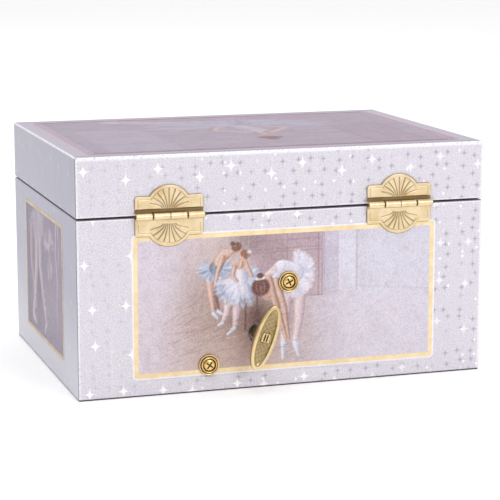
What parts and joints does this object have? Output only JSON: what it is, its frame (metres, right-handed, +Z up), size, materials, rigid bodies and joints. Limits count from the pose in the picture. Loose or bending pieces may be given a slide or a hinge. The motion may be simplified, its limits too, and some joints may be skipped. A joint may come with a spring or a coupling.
{
  "type": "ballerina jewellery box",
  "caption": "Paper-covered musical jewellery box with a hinged lid, a winding key at the back and a sprung dancer that folds under the lid.",
  "frame": {"origin": "centre of the bottom face, on the surface that the box stands on", "axes": "+X along the box's width, +Y towards the back with the hinges and the key, +Z up"},
  "size_m": [0.16, 0.1256, 0.09],
  "materials": {
    "greyboard": "matt",
    "bottom_paper": "matt",
    "cover_paper": "satin, with small silver stars",
    "pink_lining": "matt flock",
    "roll_velvet": "soft velvet",
    "mirror": "polished",
    "gold_foil": "gold foil",
    "brass_plate": "bright plated",
    "steel": "bright",
    "gear_brass": "bright",
    "white_plastic": "gloss",
    "doll_plastic": "satin",
    "tutu_net": "sheer net"
  },
  "bodies": {
    "box": {"bottom_sheet": "bottom_paper", "base_board": "greyboard", "front_wall": "greyboard", "back_wall": "greyboard", "left_wall": "greyboard", "right_wall": "greyboard", "body_paper": "cover_paper", "body_lining": "pink_lining", "riser_panel": "greyboard", "deck_board": "greyboard", "deck_lining": "pink_lining", "long_divider": "pink_lining", "cross_divider": "pink_lining", "ring_tray": "greyboard", "ring_roll_1": "roll_velvet", "ring_roll_2": "roll_velvet", "ring_roll_3": "roll_velvet", "ring_roll_4": "roll_velvet", "left_hinge_lower_leaf": "brass_plate", "left_hinge_pin": "brass_plate", "right_hinge_lower_leaf": "brass_plate", "right_hinge_pin": "brass_plate", "cup_washers": "brass_plate", "movement_screws": "brass_plate", "bedplate": "steel", "spring_barrel": "steel", "mainspring": "steel", "left_bearing_bracket": "steel", "right_bearing_bracket": "steel", "comb_bed": "steel", "music_comb": "steel", "comb_screws": "steel", "governor_bracket": "steel", "spindle_bracket": "steel"},
    "lid": {"lid_top_board": "greyboard", "lid_front_rail": "greyboard", "lid_back_rail": "greyboard", "lid_left_rail": "greyboard", "lid_right_rail": "greyboard", "lid_paper": "cover_paper", "lid_lining": "pink_lining", "mirror_glass": "mirror", "mirror_frame": "gold_foil", "left_hinge_upper_leaf": "brass_plate", "right_hinge_upper_leaf": "brass_plate"},
    "key": {"winding_key": "brass_plate", "key_arbor": "steel", "great_wheel": "gear_brass"},
    "cylinder": {"music_cylinder": "gear_brass", "end_wheel": "gear_brass"},
    "intermediate": {"intermediate_arbor": "gear_brass"},
    "governor": {"governor_worm": "steel", "governor_fan": "white_plastic"},
    "doll_drive": {"spindle": "steel", "turntable": "white_plastic"},
    "folding_spring": {"doll_spring": "steel"},
    "ballerina": {"ballerina_figure": "doll_plastic", "ballerina_tutu": "tutu_net"},
    "stop": {"stop_rod": "steel"}
  },
  "joints": [
    {"name": "lid_hinge", "type": "hinge", "parent": "box", "child": "lid", "pos_m": [0, 0.0592, 0.0675], "axis": [-1, 0, 0], "range_deg": [0, 105]},
    {"name": "key_turn", "type": "hinge", "parent": "box", "child": "key", "pos_m": [0.0108, 0.05, 0.021], "axis": [0, 1, 0], "continuous": true},
    {"name": "cylinder_turn", "type": "hinge", "parent": "box", "child": "cylinder", "pos_m": [0.033, 0.0355, 0.021], "axis": [1, 0, 0], "continuous": true},
    {"name": "intermediate_turn", "type": "hinge", "parent": "box", "child": "intermediate", "pos_m": [0.045, 0.0355, 0.03], "axis": [1, 0, 0], "continuous": true},
    {"name": "governor_spin", "type": "hinge", "parent": "box", "child": "governor", "pos_m": [0.047, 0.0399, 0.035], "axis": [0, 0, 1], "continuous": true},
    {"name": "spindle_turn", "type": "hinge", "parent": "box", "child": "doll_drive", "pos_m": [0.0108, 0.0355, 0.04], "axis": [0, 0, 1], "continuous": true},
    {"name": "doll_fold", "type": "hinge", "parent": "box", "child": "folding_spring", "pos_m": [0.0108, 0.0355, 0.05571], "axis": [-1, 0, 0], "range_deg": [0, 65], "deforming": ["doll_spring"]},
    {"name": "doll_spin", "type": "hinge", "parent": "folding_spring", "child": "ballerina", "pos_m": [0.0108, 0.0355, 0.05571], "axis": [0, -0.9063, 0.4226], "continuous": true},
    {"name": "stop_slide", "type": "slide", "parent": "box", "child": "stop", "axis": [0, 0, 1], "range_m": [0, 0.0018]}
  ],
  "couplings": [
    {"joint": "cylinder_turn", "follows": "key_turn", "ratio": -2.7143},
    {"joint": "intermediate_turn", "follows": "key_turn", "ratio": 5.4286},
    {"joint": "governor_spin", "follows": "key_turn", "ratio": -86.857},
    {"joint": "spindle_turn", "follows": "key_turn", "ratio": -2.7143},
    {"joint": "doll_spin", "follows": "key_turn", "ratio": -2.7143},
    {"joint": "doll_fold", "follows": "lid_hinge", "ratio": 0.61905},
    {"joint": "stop_slide", "follows": "lid_hinge", "m_per_rad": 0.00098}
  ]
}
